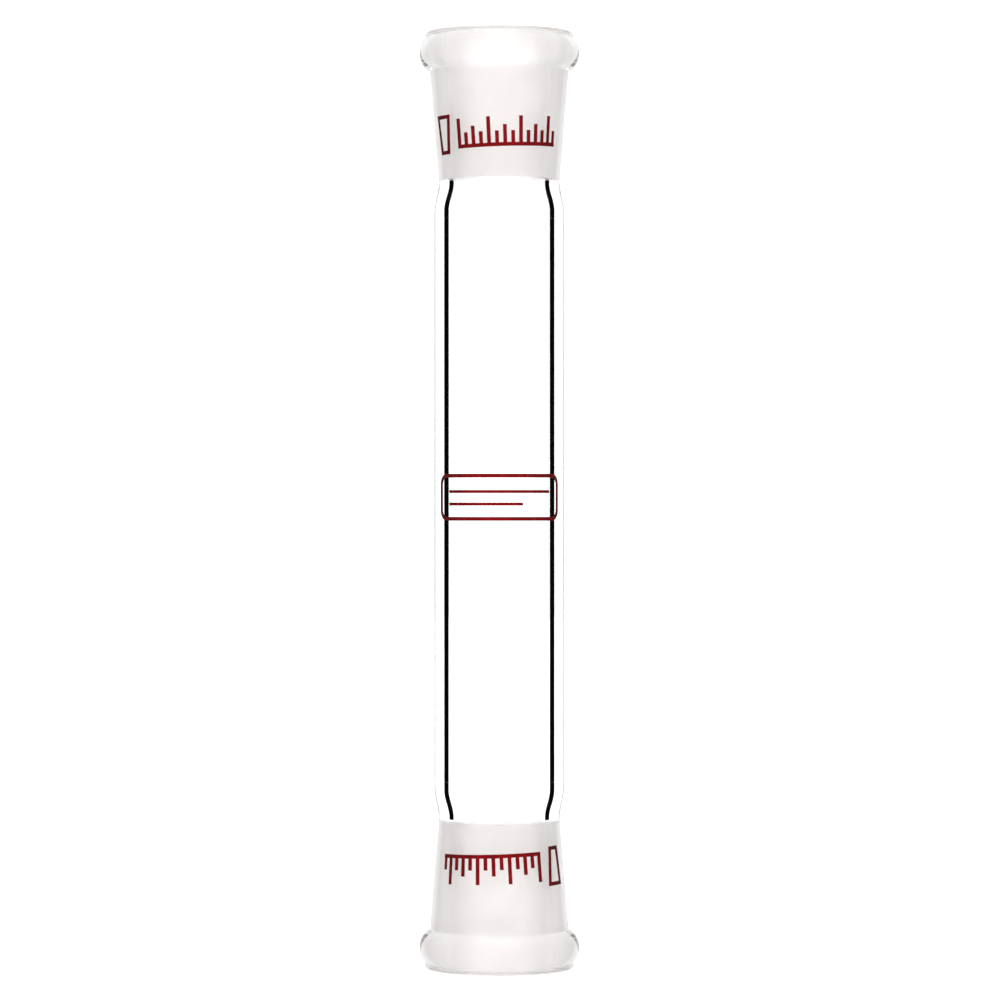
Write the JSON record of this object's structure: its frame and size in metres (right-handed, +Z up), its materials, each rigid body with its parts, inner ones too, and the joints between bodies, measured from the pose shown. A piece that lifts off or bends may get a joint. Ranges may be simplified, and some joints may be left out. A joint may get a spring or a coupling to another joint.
{
  "type": "glass connecting tube",
  "caption": "Straight clear glass connecting tube with a ground female standard-taper socket fused to each end, for joining two pieces of ground-joint laboratory glassware in line.",
  "frame": {"origin": "centre of the lower socket's flat rim plane", "axes": "+Z up along the tube's axis from the lower rim to the upper rim; -Y is the printed front"},
  "size_m": [0.0214, 0.0214, 0.125],
  "materials": {
    "clear_glass": "fire-polished clear borosilicate glass",
    "ground_glass": "clear borosilicate glass outside, with a fine-ground frosted white taper bore",
    "red_enamel": "dark red fired-on enamel, slightly glossy"
  },
  "bodies": {
    "root": {"center_tube": "clear_glass", "upper_socket": "ground_glass", "lower_socket": "ground_glass", "upper_size_mark": "red_enamel", "lower_size_mark": "red_enamel", "body_mark": "red_enamel"}
  },
  "joints": []
}
